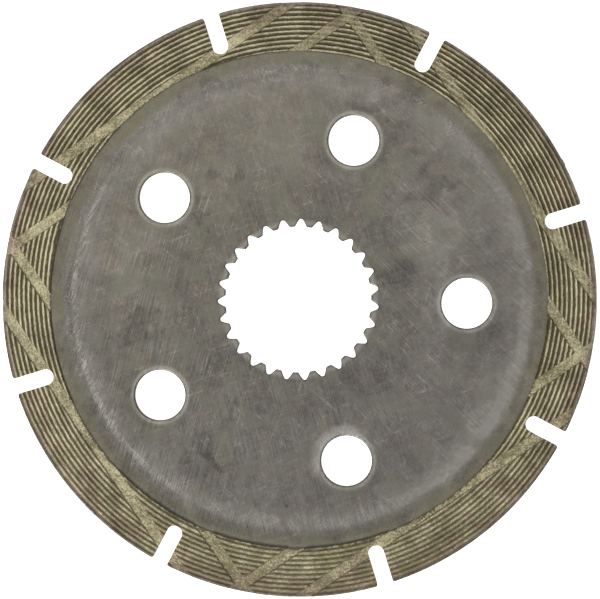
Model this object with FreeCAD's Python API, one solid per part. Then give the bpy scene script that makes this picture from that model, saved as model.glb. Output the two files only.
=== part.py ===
import FreeCAD, Part
import math
import os

# Wet brake friction disc for an axle brake: a splined steel plate with a ring of sintered
# bronze lining bonded to each face. All sizes are in millimetres.
#
# Frame: the disc lies flat with its axis on Z. The origin is the centre of the disc, halfway
# through its thickness. +Z points out of the front lining, and +X runs through the centre of
# one of the five oil holes. Angles are in degrees from +X.

# Steel plate
outer_diameter = 224.0
plate_thickness = 2.8

# Splined bore: an involute spline with twelve teeth to the inch of pitch diameter, so the
# module, which is the pitch diameter over the number of teeth, is a twelfth of an inch
spline_teeth = 27
spline_module = 2.11667
spline_pressure_angle = 30.0
spline_root_radius = 1.0
spline_first_space_angle = 9.28

# Oil holes through the plate
hole_count = 5
hole_diameter = 19.05
hole_circle_diameter = 127.0
hole_chamfer = 0.3

# Bonded linings: rings that end flush with the plate's rim
lining_thickness = 1.0
lining_width = 18.3

# Radial slots, open at the rim, through the plate and both linings. They stop short of the
# lining's inner edge by the land behind their round roots.
slot_count = 8
slot_width = 6.0
slot_root_land = 3.3
slot_first_angle = 18.4
slot_mouth_radius = 0.8

# Oil channels pressed into each lining: straight bars that form two concentric squares. The
# sides of the outer square skim the lining's inner edge and reach a little way into it, and
# the corners of the inner square lie a little way in from the rim.
channel_sides = 4
channel_width = 4.4
channel_depth = 0.6
channel_first_normal_angle = 35.6
outer_square_reach = 2.1
inner_square_corner_inset = 2.7
channel_shift_x = -0.87
channel_shift_y = -0.27

# How far a cutting tool reaches past the face that it cuts
tool_overrun = 1.0

# Sizes that follow from those above
outer_radius = outer_diameter / 2
plate_face = plate_thickness / 2
lining_face = plate_face + lining_thickness
lining_inner_radius = outer_radius - lining_width
slot_depth = lining_width - slot_root_land
spline_pitch_radius = spline_teeth * spline_module / 2
spline_minor_radius = spline_pitch_radius - spline_module / 2
spline_base_radius = spline_pitch_radius * math.cos(math.radians(spline_pressure_angle))
outer_square_apothem = lining_inner_radius + outer_square_reach - channel_width / 2
inner_square_apothem = (outer_radius - inner_square_corner_inset) * math.cos(math.pi / channel_sides)


def polar(radius, angle, height):
    """The point at a radius and an angle in degrees, at a height."""
    turn = math.radians(angle)
    return FreeCAD.Vector(radius * math.cos(turn), radius * math.sin(turn), height)


def on_slot(along, across, angle, height):
    """A point given along and across a slot, whose middle line lies at the angle."""
    point = FreeCAD.Vector(along, across, height)
    return FreeCAD.Rotation(FreeCAD.Vector(0, 0, 1), angle).multVec(point)


def arc(start, middle, end):
    """The circular edge through three points."""
    return Part.Arc(start, middle, end).toShape()


def circle(radius, centre):
    """A closed round wire, level, about a centre."""
    return Part.Wire(Part.makeCircle(radius, centre, FreeCAD.Vector(0, 0, 1)))


def involute(angle):
    """The involute function of an angle in radians."""
    return math.tan(angle) - angle


def angle_of_involute(value):
    """The angle in radians whose involute function has the given value."""
    angle = math.radians(spline_pressure_angle)
    for _ in range(20):
        angle = angle - (involute(angle) - value) / math.tan(angle) ** 2
    return angle


# A space between two teeth is as wide as a tooth along the pitch circle, so half of it spans
# a quarter of one tooth's share there. This is that half angle, traced back to the base circle.
half_space_at_base = math.pi / (2 * spline_teeth) + involute(math.radians(spline_pressure_angle))

# The round root touches both flanks. A curve that runs inside a flank by the root's radius
# is the same involute turned a little further, and it crosses the middle of the space at the
# root's centre.
root_centre_pressure = angle_of_involute(half_space_at_base - spline_root_radius / spline_base_radius)
root_centre_radius = spline_base_radius / math.cos(root_centre_pressure)
flank_end_pressure = math.atan(math.tan(root_centre_pressure) + spline_root_radius / spline_base_radius)
flank_end_radius = spline_base_radius / math.cos(flank_end_pressure)


def half_space_angle(radius):
    """Half the angle, in degrees, that a tooth space spans at a radius."""
    pressure = math.acos(spline_base_radius / radius)
    return math.degrees(half_space_at_base - involute(pressure))


def spline_wire(height):
    """The outline of the splined bore, counter-clockwise, as tooth tips, flanks and round roots."""
    step = 360 / spline_teeth
    flank_middle_radius = (spline_minor_radius + flank_end_radius) / 2
    tip_half = half_space_angle(spline_minor_radius)
    middle_half = half_space_angle(flank_middle_radius)
    end_half = half_space_angle(flank_end_radius)
    edges = []
    for index in range(spline_teeth):
        centre = spline_first_space_angle + index * step
        near = [
            polar(spline_minor_radius, centre - tip_half, height),
            polar(flank_middle_radius, centre - middle_half, height),
            polar(flank_end_radius, centre - end_half, height),
        ]
        far = [
            polar(flank_end_radius, centre + end_half, height),
            polar(flank_middle_radius, centre + middle_half, height),
            polar(spline_minor_radius, centre + tip_half, height),
        ]
        root = polar(root_centre_radius + spline_root_radius, centre, height)
        tip = polar(spline_minor_radius, centre + step / 2, height)
        next_space = polar(spline_minor_radius, centre + step - tip_half, height)
        edges.append(arc(*near))
        edges.append(arc(near[-1], root, far[0]))
        edges.append(arc(*far))
        edges.append(arc(far[-1], tip, next_space))
    return Part.Wire(edges)


def rim_wire(height):
    """The outline of the rim, counter-clockwise, with its open slots and their rounded mouths."""
    half_width = slot_width / 2
    root_along = outer_radius - slot_depth + half_width
    mouth_across = half_width + slot_mouth_radius
    mouth_reach = outer_radius - slot_mouth_radius
    mouth_along = math.sqrt(mouth_reach**2 - mouth_across**2)
    mouth_turn = math.degrees(math.atan2(mouth_across, mouth_along))
    # the middle of a mouth's round lies halfway between its ends on the slot's side and the rim
    middle_turn = math.radians((mouth_turn - 90) / 2)
    middle_along = mouth_along + slot_mouth_radius * math.cos(middle_turn)
    middle_across = mouth_across + slot_mouth_radius * math.sin(middle_turn)
    step = 360 / slot_count
    edges = []
    for index in range(slot_count):
        angle = slot_first_angle + index * step
        rim_before = polar(outer_radius, angle - mouth_turn, height)
        side_before = on_slot(mouth_along, -half_width, angle, height)
        root_before = on_slot(root_along, -half_width, angle, height)
        root_end = on_slot(root_along - half_width, 0, angle, height)
        root_after = on_slot(root_along, half_width, angle, height)
        side_after = on_slot(mouth_along, half_width, angle, height)
        rim_after = polar(outer_radius, angle + mouth_turn, height)
        next_slot = polar(outer_radius, angle + step - mouth_turn, height)
        edges.append(arc(rim_before, on_slot(middle_along, -middle_across, angle, height), side_before))
        edges.append(Part.makeLine(side_before, root_before))
        edges.append(arc(root_before, root_end, root_after))
        edges.append(Part.makeLine(root_after, side_after))
        edges.append(arc(side_after, on_slot(middle_along, middle_across, angle, height), rim_after))
        edges.append(arc(rim_after, polar(outer_radius, angle + step / 2, height), next_slot))
    return Part.Wire(edges)


def plate_from(outline, openings, thickness):
    """A flat solid with its underside at the outline's height, pierced by the openings."""
    face = Part.makeFace([outline] + openings, "Part::FaceMakerBullseye")
    return face.extrude(FreeCAD.Vector(0, 0, thickness))


def edge_breaks(centre):
    """Two cones that break the edges of an oil hole, one at each face of the steel plate."""
    radius = hole_diameter / 2
    reach = hole_chamfer + tool_overrun
    up = FreeCAD.Vector(0, 0, 1)
    top = centre + up * (plate_face - hole_chamfer)
    bottom = centre - up * (plate_face - hole_chamfer)
    return [
        Part.makeCone(radius, radius + reach, reach, top, up),
        Part.makeCone(radius, radius + reach, reach, bottom, up * -1),
    ]


def make_core_plate():
    """The steel plate, with its splined bore, oil holes and rim slots."""
    step = 360 / hole_count
    openings = [spline_wire(-plate_face)]
    cones = []
    for index in range(hole_count):
        centre = polar(hole_circle_diameter / 2, index * step, 0)
        openings.append(circle(hole_diameter / 2, centre - FreeCAD.Vector(0, 0, plate_face)))
        cones.extend(edge_breaks(centre))
    plate = plate_from(rim_wire(-plate_face), openings, plate_thickness)
    return plate.cut(cones)


def channel_bar(apothem, normal_angle):
    """The straight bar that clears one oil channel, square to its normal at the apothem."""
    floor = lining_face - channel_depth
    corner = FreeCAD.Vector(apothem - channel_width / 2, -outer_radius, floor)
    bar = Part.makeBox(channel_width, outer_diameter, channel_depth + tool_overrun, corner)
    bar.rotate(FreeCAD.Vector(0, 0, 0), FreeCAD.Vector(0, 0, 1), normal_angle)
    bar.translate(FreeCAD.Vector(channel_shift_x, channel_shift_y, 0))
    return bar


def make_front_facing():
    """The front lining: a slotted ring crossed by the channels of both squares."""
    inner_circle = circle(lining_inner_radius, FreeCAD.Vector(0, 0, plate_face))
    ring = plate_from(rim_wire(plate_face), [inner_circle], lining_thickness)
    bars = []
    for apothem in (outer_square_apothem, inner_square_apothem):
        for index in range(channel_sides):
            normal_angle = channel_first_normal_angle + index * 360 / channel_sides
            bars.append(channel_bar(apothem, normal_angle))
    return ring.cut(bars)


core_plate = make_core_plate()
front_facing = make_front_facing()
# the rear lining mirrors the front one through the middle of the plate
rear_facing = front_facing.mirror(FreeCAD.Vector(0, 0, 0), FreeCAD.Vector(0, 0, 1))

os.makedirs("parts", exist_ok=True)
core_plate.exportStep("parts/core_plate.step")
front_facing.exportStep("parts/front_facing.step")
rear_facing.exportStep("parts/rear_facing.step")
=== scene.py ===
"""Looks of a wet brake friction disc: a splined steel plate with a turned lining on each face.

Meshes are worked out in millimetres and put into Blender in metres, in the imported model's frame:
the disc lies flat with its axis on Z, +Z points out of the front lining and +X runs through the
centre of one oil hole.
"""

import logging
import math
from dataclasses import dataclass, field
from enum import Enum
from typing import Mapping, Sequence, Union

import bmesh
import bpy
import numpy as np
from mathutils import Matrix, Vector


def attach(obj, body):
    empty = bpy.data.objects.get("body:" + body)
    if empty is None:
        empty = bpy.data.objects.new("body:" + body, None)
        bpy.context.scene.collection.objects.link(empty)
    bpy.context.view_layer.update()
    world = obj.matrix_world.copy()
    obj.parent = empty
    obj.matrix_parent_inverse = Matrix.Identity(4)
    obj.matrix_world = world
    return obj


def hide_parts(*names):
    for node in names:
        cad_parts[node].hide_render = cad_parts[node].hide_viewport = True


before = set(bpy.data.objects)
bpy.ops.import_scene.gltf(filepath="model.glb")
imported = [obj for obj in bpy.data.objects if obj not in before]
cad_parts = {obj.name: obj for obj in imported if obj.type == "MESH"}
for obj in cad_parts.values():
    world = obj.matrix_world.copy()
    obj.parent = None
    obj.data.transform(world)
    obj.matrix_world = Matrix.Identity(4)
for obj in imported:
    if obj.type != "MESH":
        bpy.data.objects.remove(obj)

LOG = logging.getLogger("friction_disc")
MM = 0.001

Number = Union[int, float]
Colour = tuple[float, float, float]
Way = tuple[float, float, float]
Rise = tuple[float, float]
Band = tuple[float, float, float, float]


class Side(Enum):
    """The face of the disc that a lining is bonded to. The value is the sign of its heights."""

    FRONT = 1
    REAR = -1


class Brush(Enum):
    """The ways that the wire brush has crossed the steel.

    Each value holds the strokes' direction in degrees from +X, their cycles a millimetre along
    it and across it, and a shift that keeps one set's pattern apart from the others'.
    """

    LEFT = (76.0, 0.07, 2.4, 3.0)
    MIDDLE = (106.0, 0.06, 2.2, 40.0)
    RIGHT = (137.0, 0.05, 2.0, 90.0)
    ACROSS = (20.0, 0.06, 1.8, 190.0)
    HATCH = (58.0, 0.08, 1.8, 140.0)


@dataclass(frozen=True)
class Cloud:
    """One cloudy noise: its cycles a millimetre, its finer layers and how strong each one is."""

    scale: float
    layers: float = 2.0
    rough: float = 0.5


STROKE_GRAIN = Cloud(1.0, 3.0, 0.6)


class Signal:
    """One output of a shader node, with which sums and products are written as on numbers."""

    def __init__(self, bench: "Bench", socket: bpy.types.NodeSocket) -> None:
        """Keeps the socket and the bench whose nodes it joins."""
        self.bench = bench
        self.socket = socket

    def math(self, operation: str, *terms: "Feed") -> "Signal":
        """The result of a Math node on the given terms."""
        return self.bench.node("ShaderNodeMath", {"operation": operation}, dict(enumerate(terms)))

    def __add__(self, other: "Feed") -> "Signal":
        """The sum."""
        return self.math("ADD", self, other)

    __radd__ = __add__

    def __sub__(self, other: "Feed") -> "Signal":
        """This less the other."""
        return self.math("SUBTRACT", self, other)

    def __rsub__(self, other: "Feed") -> "Signal":
        """The other less this."""
        return self.math("SUBTRACT", other, self)

    def __mul__(self, other: "Feed") -> "Signal":
        """The product."""
        return self.math("MULTIPLY", self, other)

    __rmul__ = __mul__

    def __truediv__(self, other: "Feed") -> "Signal":
        """This over the other."""
        return self.math("DIVIDE", self, other)

    def __pow__(self, other: "Feed") -> "Signal":
        """This raised to the other."""
        return self.math("POWER", self, other)

    def __abs__(self) -> "Signal":
        """The size without the sign."""
        return self.math("ABSOLUTE", self)

    def least(self, other: "Feed") -> "Signal":
        """The smaller of the two."""
        return self.math("MINIMUM", self, other)

    def most(self, other: "Feed") -> "Signal":
        """The larger of the two."""
        return self.math("MAXIMUM", self, other)

    def step(self, low: Number, high: Number) -> "Signal":
        """A soft step.

        Args:
            low: where the step is still 0.
            high: where the step has reached 1.

        Returns:
            0 below low, 1 above high, and a smooth rise between them.
        """
        settings = {"interpolation_type": "SMOOTHSTEP", "clamp": True}
        feeds = {"Value": self, "From Min": low, "From Max": high}
        return self.bench.node("ShaderNodeMapRange", settings, feeds)

    def band(self, low: Number, rise: Number, fall: Number, high: Number) -> "Signal":
        """A soft band: 0 outside low and high, 1 between rise and fall."""
        return self.step(low, rise) * self.fall(fall, high)

    def fall(self, low: Number, high: Number) -> "Signal":
        """A soft step down: 1 below low and 0 above high."""
        return 1.0 - self.step(low, high)

    def swing(self, reach: Number) -> "Signal":
        """Noise about 0.5 turned into noise about 0, and made reach times as strong."""
        return (self - 0.5) * reach


Feed = Union[Signal, Number, Sequence[Number]]


class Bench:
    """A material's node tree, with the few kinds of step that the finishes are made of."""

    def __init__(self, name: str) -> None:
        """Starts a material with an empty tree."""
        self.material = bpy.data.materials.new(name)
        self.material.use_nodes = True
        self.tree = self.material.node_tree
        self.tree.nodes.clear()

    def node(
        self,
        kind: str,
        settings: Mapping[str, Union[str, bool]],
        feeds: Mapping[Union[int, str], Feed],
        output: Union[int, str] = 0,
    ) -> Signal:
        """Adds one node.

        Args:
            kind: the node's type.
            settings: its own settings, set first.
            feeds: a value or a signal for each socket, by number or name.
            output: the number or name of the output that is wanted.

        Returns:
            That output.
        """
        made = self.tree.nodes.new(kind)
        for name, value in settings.items():
            setattr(made, name, value)
        for key, feed in feeds.items():
            if isinstance(feed, Signal):
                self.tree.links.new(feed.socket, made.inputs[key])
            else:
                made.inputs[key].default_value = feed
        return Signal(self, made.outputs[output])

    def vector(self, operation: str, *terms: Feed, output: str = "Vector") -> Signal:
        """The result of a Vector Math node on the given terms."""
        feeds = dict(enumerate(terms))
        return self.node("ShaderNodeVectorMath", {"operation": operation}, feeds, output)

    def place(self) -> Signal:
        """The point on the piece, in millimetres."""
        point = self.node("ShaderNodeTexCoord", {}, {}, "Object")
        return self.vector("MULTIPLY", point, (1 / MM, 1 / MM, 1 / MM))

    def part(self, vector: Signal, axis: str) -> Signal:
        """One coordinate of a vector, X, Y or Z."""
        return self.node("ShaderNodeSeparateXYZ", {}, {0: vector}, axis)

    def stored(self, name: str) -> Signal:
        """A value that the piece's mesh keeps at each of its places."""
        return self.node("ShaderNodeAttribute", {"attribute_name": name}, {}, "Fac")

    def upright(self) -> Signal:
        """1 on a face that stands upright and 0 on one that leans or lies."""
        normal = self.node("ShaderNodeNewGeometry", {}, {}, "Normal")
        return 1.0 - abs(self.part(normal, "Z")).step(0.15, 0.4)

    def leaning(self) -> Signal:
        """1 on a face that leans, such as a broken edge, and 0 on one that lies or stands upright."""
        normal = self.node("ShaderNodeNewGeometry", {}, {}, "Normal")
        return abs(self.part(normal, "Z")).band(0.15, 0.40, 0.86, 0.97)

    def dot(self, vector: Signal, way: Sequence[Number]) -> Signal:
        """How far a vector runs along a way, times the way's length."""
        return self.vector("DOT_PRODUCT", vector, way, output="Value")

    def flat(self, vector: Signal) -> Signal:
        """The vector with its height taken out."""
        return self.vector("MULTIPLY", vector, (1.0, 1.0, 0.0))

    def length(self, vector: Signal) -> Signal:
        """The length of a vector."""
        return self.vector("LENGTH", vector, output="Value")

    def noise(self, vector: Signal, cloud: Cloud, solid: bool = False) -> Signal:
        """Cloudy noise.

        Args:
            vector: the point, in millimetres.
            cloud: the noise's sizes.
            solid: whether it also varies with the height.

        Returns:
            A value about 0.5.
        """
        feeds = {"Vector": vector, "Scale": cloud.scale, "Detail": cloud.layers, "Roughness": cloud.rough}
        return self.node("ShaderNodeTexNoise", {"noise_dimensions": "3D" if solid else "2D"}, feeds)

    def drift(self, flat: Signal, scale: Number, reach: Number) -> Signal:
        """The point moved about by cloudy noise, so that what is drawn there gets a ragged outline.

        Args:
            flat: the point with no height.
            scale: cycles a millimetre.
            reach: millimetres that the noise can move it.

        Returns:
            The moved point.
        """
        feeds = {"Vector": flat, "Scale": scale, "Detail": 2.0}
        cloud = self.node("ShaderNodeTexNoise", {"noise_dimensions": "2D"}, feeds, "Color")
        off = self.vector("SUBTRACT", cloud, (0.5, 0.5, 0.5))
        return self.vector("MULTIPLY_ADD", off, (2.0 * reach, 2.0 * reach, 0.0), flat)

    def strokes(self, vector: Signal, brush: Brush) -> Signal:
        """Noise drawn out into strokes.

        Args:
            vector: the point, in millimetres.
            brush: the set of strokes.

        Returns:
            A value about 0.
        """
        degrees, along, across, shift = brush.value
        feeds = {
            "Vector": vector,
            "Location": (shift, shift, 0.0),
            "Rotation": (0.0, 0.0, math.radians(degrees)),
            "Scale": (1 / along, 1 / across, 1 / across),
        }
        drawn = self.node("ShaderNodeMapping", {"vector_type": "TEXTURE"}, feeds)
        return self.noise(drawn, STROKE_GRAIN) - 0.5

    def mix(self, share: Feed, first: Feed, second: Feed, blend: str = "MIX") -> Signal:
        """Blends two colours, each a signal or red, green and blue."""
        settings = {"data_type": "RGBA", "blend_type": blend, "clamp_factor": True}
        first, second = (c if isinstance(c, Signal) else (*c, 1.0) for c in (first, second))
        return self.node("ShaderNodeMix", settings, {0: share, 6: first, 7: second}, 2)

    def finish(self, feeds: Mapping[str, Feed]) -> bpy.types.Material:
        """Closes the material with one Principled shader.

        Args:
            feeds: the shader's sockets by name.

        Returns:
            The material.
        """
        shader = self.node("ShaderNodeBsdfPrincipled", {}, feeds)
        self.node_output(shader)
        return self.material

    def node_output(self, shader: Signal) -> None:
        """Joins a shader to the material's surface."""
        made = self.tree.nodes.new("ShaderNodeOutputMaterial")
        self.tree.links.new(shader.socket, made.inputs["Surface"])

    def bump(self, height: Signal, millimetres: Number, strength: Number = 1.0) -> Signal:
        """A normal from a height that runs from 0 to 1 over the given depth."""
        feeds = {"Strength": strength, "Distance": millimetres * MM, "Height": height}
        return self.node("ShaderNodeBump", {}, feeds, "Normal")


@dataclass(frozen=True)
class Scuff:
    """One mark on the steel: a straight stroke from start to end, in millimetres from the axis."""

    start: tuple[float, float]
    end: tuple[float, float]
    width: float
    change: float

    def mask(self, bench: Bench, flat: Signal) -> Signal:
        """The mark's strength at a point.

        In words: the distance from the point to the nearest point of the stroke, turned into 1
        on the stroke and 0 beyond its width.

        Args:
            bench: the material in the making.
            flat: the point with no height.

        Returns:
            The change of brightness, above 0 for a bright mark.
        """
        run = (self.end[0] - self.start[0], self.end[1] - self.start[1], 0.0)
        square = max(run[0] ** 2 + run[1] ** 2, 1e-6)
        away = bench.vector("SUBTRACT", flat, (*self.start, 0.0))
        share = (bench.dot(away, run) / square).most(0.0).least(1.0)
        foot = bench.node("ShaderNodeVectorMath", {"operation": "SCALE"}, {0: run, "Scale": share})
        gap = bench.length(bench.vector("SUBTRACT", away, foot))
        return gap.fall(self.width * 0.25, self.width) * self.change


@dataclass(frozen=True)
class Ground:
    """The place on the steel that its finish is worked out for, and what its marks share.

    The cloud, patch, mottle and speck are noises about 0.5, from coarse to fine. Upper is 1 in the
    disc's upper left and 0 in its lower right, and past is millimetres beyond the rubbed ring.
    """

    point: Signal
    flat: Signal
    x: Signal
    y: Signal
    radius: Signal
    cloud: Signal
    patch: Signal
    mottle: Signal
    speck: Signal
    upper: Signal
    past: Signal


@dataclass(frozen=True)
class Brushing:
    """The wire brush's strokes at a place: all of them drawn together, and some sets by themselves.

    Lower is 1 where the lower half is hatched, and calm is the share by which the strokes are
    fainter there.
    """

    drawn: Signal
    left: Signal
    right: Signal
    across: Signal
    hatch: Signal
    lower: Signal
    calm: Signal


@dataclass(frozen=True)
class WornSteel:
    """Wire-brushed plate steel with oil film, rubbed rings, pale hole edges and a few scuffs, and painted
    shade and highlights at its cut edges.

    The brightness runs from 0, deep, to 1, pale. A lift or a depth is how much a mark adds to it
    or takes from it. A ring is a soft band of distances from the axis, in millimetres. The bands
    of the rub and of what lies beside it count from the rubbed ring's radius, those of the halo,
    the glow, the painted edge shade and the seat from a hole's edge, the painted bore highlight's
    from the bore's radius and the glue's from the lining's edge.
    """

    name: str = "worn_steel"
    metallic: float = 0.75

    # colours, and the tints that the stains and the oil film multiply them by
    bright: Colour = (0.560, 0.540, 0.500)
    pale: Colour = (0.350, 0.332, 0.297)
    deep: Colour = (0.104, 0.097, 0.085)
    olive: Colour = (0.97, 0.95, 0.86)
    oiled: Colour = (1.0, 0.98, 0.85)
    rusty: Colour = (0.54, 0.49, 0.46)
    green: Colour = (0.200, 0.200, 0.155)
    bright_from: float = 0.92

    # the plate, in millimetres
    lining_edge: float = 93.7
    hole_radius: float = 9.525
    hole_circle_radius: float = 63.5
    hole_count: int = 5
    bore_radius: float = 28.45

    # the plain plate: noises from coarse to fine, and how much each one matters
    cloud: Cloud = Cloud(0.045, 3.0, 0.6)
    patch: Cloud = Cloud(0.16, 3.0, 0.65)
    mottle: Cloud = Cloud(0.6, 2.0, 0.6)
    speck: Cloud = Cloud(1.9, 2.0, 0.7)
    rust_cloud: Cloud = Cloud(0.13)
    green_cloud: Cloud = Cloud(0.09)
    plain_tone: float = 0.405
    cloud_depth: float = 0.40
    patch_depth: float = 0.45
    mottle_depth: float = 0.25
    speck_depth: float = 0.55
    # painted sheen: the way along which the plate is made slowly brighter, towards the upper right
    painted_sheen: Way = (0.0005, 0.0009, 0.0)
    pale_ring: Band = (42.0, 52.0, 58.0, 68.0)
    pale_lift: float = 0.05
    dim_middle: Rise = (40.0, 56.0)
    middle_depth: float = 0.09
    bright_dots: Rise = (0.68, 0.76)
    dark_dots: Rise = (0.24, 0.32)
    dot_depth: float = 0.32

    # the strokes
    calm_ring: Band = (58.0, 68.0, 79.0, 84.0)
    calm_share: float = 0.32
    oiled_ring: Rise = (87.0, 90.0)
    oiled_share: float = 0.55
    stroke_peak: Rise = (0.14, 0.20)
    across_peak: Rise = (0.15, 0.21)
    scratch_lift: float = 0.46

    # the rubbed ring and what lies beside it
    rub_radius: float = 84.5
    rub_least: Way = (-0.00045, 0.0021, 0.0)
    rub_aside: Way = (0.0105, 0.0050, 0.0)
    rub_lift: float = 0.24
    swell_band: Band = (-9.0, 0.0, 1.4, 4.6)
    crisp_band: Band = (-3.0, -0.2, 1.6, 3.8)
    ridge_band: Band = (-0.2, 0.9, 2.0, 3.0)
    ridge_lift: float = 0.45
    trough_band: Band = (4.0, 5.6, 6.2, 8.0)
    trough_depth: float = 0.09
    bite_band: Band = (1.8, 2.5, 3.4, 4.3)
    bite_lift: float = 0.42
    dim_band: Band = (-1.5, 1.0, 3.0, 5.0)
    dim_depth: float = 0.11
    score_lift: float = 0.06
    film_rise: Rise = (3.8, 5.8)
    olive_rise: Rise = (-8.5, -2.5)

    # the edges of the holes, the bore and the lining
    halo_fall: Rise = (1.2, 2.0)
    halo_lift: float = 0.50
    glow_fall: Rise = (0.8, 3.2)
    glow_lift: float = 0.12
    # painted shade: a thin dark band along each oil hole's edge
    edge_shade_fall: Rise = (0.3, 0.85)
    edge_shade_depth: float = 0.36
    shade_band: Band = (2.0, 2.8, 3.2, 6.0)
    shade_depth: float = 0.05
    # painted highlight: a pale ring round the bore for the light on the teeth's broken edges
    bore_glint_band: Band = (-0.6, 0.0, 0.4, 2.4)
    bore_glint_lift: float = 0.55
    glue_rise: Rise = (-0.85, -0.25)
    glue_depth: float = 0.05
    seat_centre: Way = (19.62, -60.39, 0.0)
    seat_toward: float = 135.0
    seat_band: Band = (0.6, 1.6, 2.4, 5.2)
    seat_lift: float = 0.60

    # marks seen in the photo; a scuff wider than this is drawn with a ragged outline
    ragged_from: float = 1.0
    stains: tuple[Scuff, ...] = (
        Scuff((-33.7, -59.8), (-31.5, -62.0), 6.0, -0.10),
        Scuff((70.0, -14.0), (60.0, -17.0), 8.0, -0.10),
        Scuff((-60.5, -46.0), (-62.0, -40.0), 8.0, -0.14),
        Scuff((-75.5, -47.0), (-74.0, -49.0), 6.0, -0.16),
        Scuff((-60.0, 31.5), (-59.5, 30.0), 6.0, 0.14),
        Scuff((-28.5, -31.0), (-20.0, -34.0), 6.0, 0.12),
        Scuff((30.0, -29.0), (29.0, -30.0), 6.0, 0.12),
        Scuff((-62.0, 22.0), (-70.0, 4.0), 10.0, 0.20),
        Scuff((26.5, 46.5), (35.4, 60.8), 9.0, -0.20),
        Scuff((54.0, -64.6), (83.6, -24.0), 8.0, 0.18),
        Scuff((-58.0, -11.0), (-64.0, -15.0), 8.0, -0.22),
        Scuff((-90.5, -10.0), (-91.0, -16.0), 3.5, 0.14),
        Scuff((-38.0, 33.0), (-42.0, 25.0), 8.0, -0.18),
        Scuff((-79.0, -38.0), (-82.0, -43.0), 5.0, -0.10),
        Scuff((-26.5, 46.0), (-27.0, 47.0), 7.0, -0.24),
        Scuff((36.0, 37.0), (37.5, 40.0), 7.0, -0.14),
        Scuff((80.0, -11.0), (75.0, -3.0), 6.0, -0.15),
        Scuff((56.0, -6.0), (51.0, -6.0), 6.0, 0.12),
        Scuff((85.5, 4.0), (85.5, 14.0), 4.5, 0.22),
        Scuff((14.0, 86.5), (20.0, 85.5), 4.0, -0.15),
        Scuff((-81.0, 42.0), (-70.0, 48.0), 6.0, -0.14),
        Scuff((-14.0, 81.5), (-38.0, 78.0), 5.5, -0.18),
        Scuff((-6.0, 88.0), (3.0, 88.5), 4.0, -0.14),
        Scuff((-38.0, -54.0), (-38.0, -56.0), 6.0, -0.14),
        Scuff((61.5, -60.1), (66.0, -55.0), 6.0, 0.12),
        Scuff((8.4, 53.0), (5.4, 60.0), 9.0, -0.10),
        Scuff((48.0, 78.0), (23.0, 72.5), 8.0, -0.18),
        Scuff((29.5, 15.5), (38.2, 9.0), 7.0, -0.16),
        Scuff((49.0, 22.0), (54.0, 28.0), 11.0, 0.20),
        Scuff((54.5, 7.0), (54.0, 0.0), 7.0, 0.18),
        Scuff((43.0, 41.0), (50.0, 43.0), 8.0, -0.20),
        Scuff((1.0, -81.0), (-8.0, -79.0), 7.0, -0.10),
        Scuff((-56.0, 48.0), (-50.0, 52.0), 8.0, 0.10),
    )
    scuffs: tuple[Scuff, ...] = (
        Scuff((-2.6, -78.1), (-2.5, -77.8), 0.75, -0.55),
        Scuff((-18.9, -77.4), (-18.6, -77.1), 0.5, 0.5),
        Scuff((-31.8, -52.8), (-31.9, -58.5), 2.0, -0.14),
        Scuff((-33.2, -60.0), (-31.4, -61.5), 2.2, -0.34),
        Scuff((-31.2, -61.5), (-27.6, -65.5), 1.5, -0.22),
        Scuff((-4.4, -40.1), (-11.0, -57.6), 0.35, 0.16),
        Scuff((-12.0, -80.6), (-5.1, -83.5), 0.35, 0.20),
        Scuff((-11.0, -81.9), (-6.5, -84.0), 0.30, 0.16),
        Scuff((33.1, -73.4), (37.6, -75.9), 0.35, 0.26),
        Scuff((48.5, -42.2), (63.7, -51.9), 0.30, 0.12),
        Scuff((40.1, -68.0), (48.8, -73.4), 0.30, 0.12),
        Scuff((77.6, 16.2), (80.2, 16.2), 0.40, 0.28),
        Scuff((62.5, 17.8), (66.3, 17.9), 0.35, 0.22),
        Scuff((74.5, 19.7), (77.5, 19.8), 0.35, 0.24),
        Scuff((44.4, 24.3), (59.1, 20.5), 0.55, 0.15),
        Scuff((48.8, -4.2), (51.5, -10.1), 0.35, 0.20),
        Scuff((44.0, -11.1), (44.3, -10.8), 0.60, 0.25),
        Scuff((-2.9, 67.8), (-2.7, 67.9), 0.45, -0.35),
        Scuff((-37.6, -17.5), (-37.4, -17.4), 0.45, -0.40),
        Scuff((37.6, -55.8), (37.8, -55.7), 0.50, -0.25),
    )

    def ground(self, bench: Bench) -> Ground:
        """What the finish knows about the place that it is worked out for.

        Args:
            bench: the material in the making.

        Returns:
            The place and its noises.
        """
        point = bench.place()
        flat = bench.flat(point)
        x, y = bench.part(flat, "X"), bench.part(flat, "Y")
        radius = bench.length(flat)
        cloud, patch, mottle = (bench.noise(flat, size) for size in (self.cloud, self.patch, self.mottle))
        speck = bench.noise(point, self.speck, solid=True)
        upper = (y - x * 0.6).step(-10.0, 50.0)
        worn = radius + patch.swing(1.4) + cloud.swing(1.4) + upper * 0.4
        past = worn - bench.dot(flat, self.rub_aside) - self.rub_radius
        return Ground(point, flat, x, y, radius, cloud, patch, mottle, speck, upper, past)

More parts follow.
